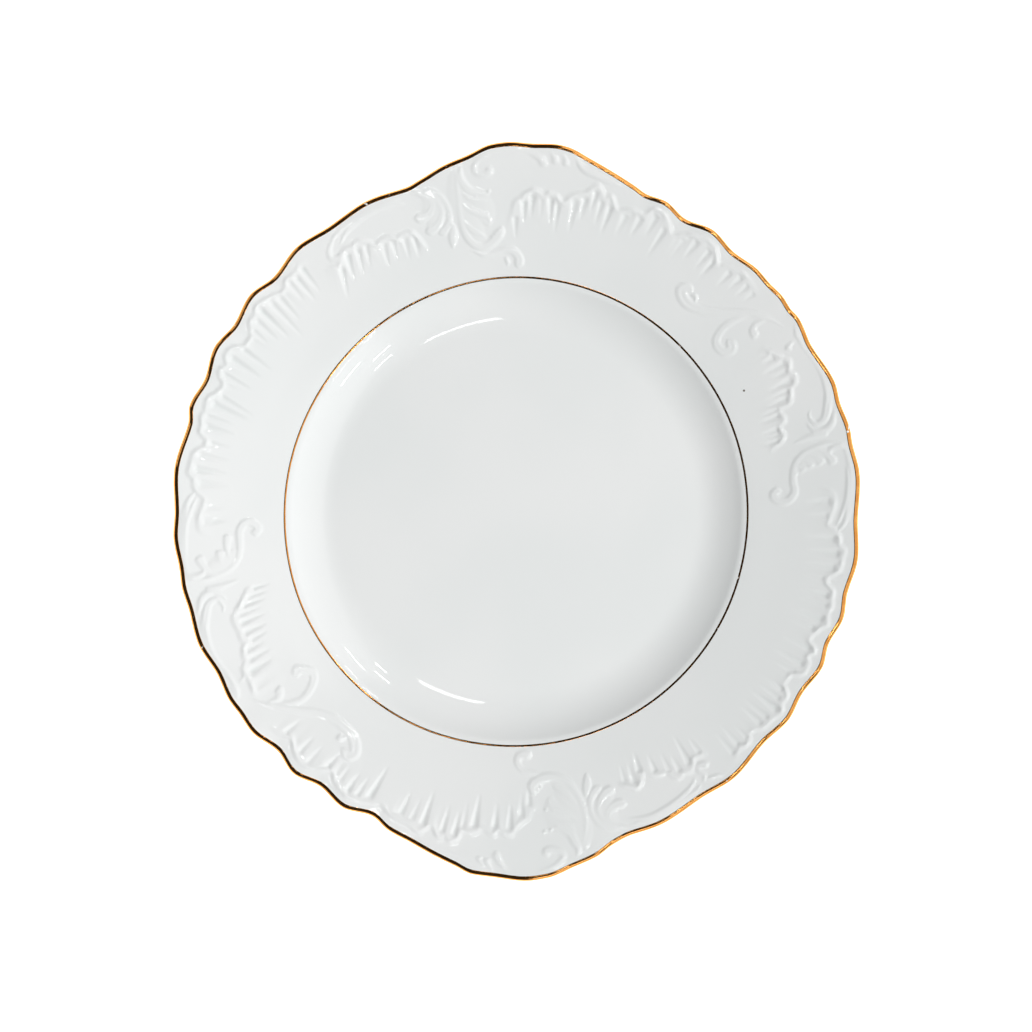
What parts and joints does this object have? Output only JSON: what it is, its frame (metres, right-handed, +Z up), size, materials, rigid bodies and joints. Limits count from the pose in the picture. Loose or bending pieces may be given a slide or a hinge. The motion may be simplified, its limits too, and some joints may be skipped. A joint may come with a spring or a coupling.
{
  "type": "dinner plate",
  "caption": "Shallow white porcelain plate with a scalloped rim, an ear at each end of one axis, a gold edge band and a gold line round the well.",
  "frame": {"origin": "centre of the plate on the plane its foot ring stands on", "axes": "+Z up out of the face, +Y through the ear that is uppermost in the source picture, +X to the right of it"},
  "size_m": [0.2612, 0.2808, 0.0217],
  "materials": {
    "porcelain": "matte fired body, seen only at the foot ring",
    "glaze": "clear glossy white glaze",
    "gold": "polished gold"
  },
  "bodies": {
    "root": {"porcelain_body": "porcelain", "face_glaze": "glaze", "back_glaze": "glaze", "base_glaze": "glaze", "gold_rim_band": "gold", "gold_inner_line": "gold"}
  },
  "joints": []
}
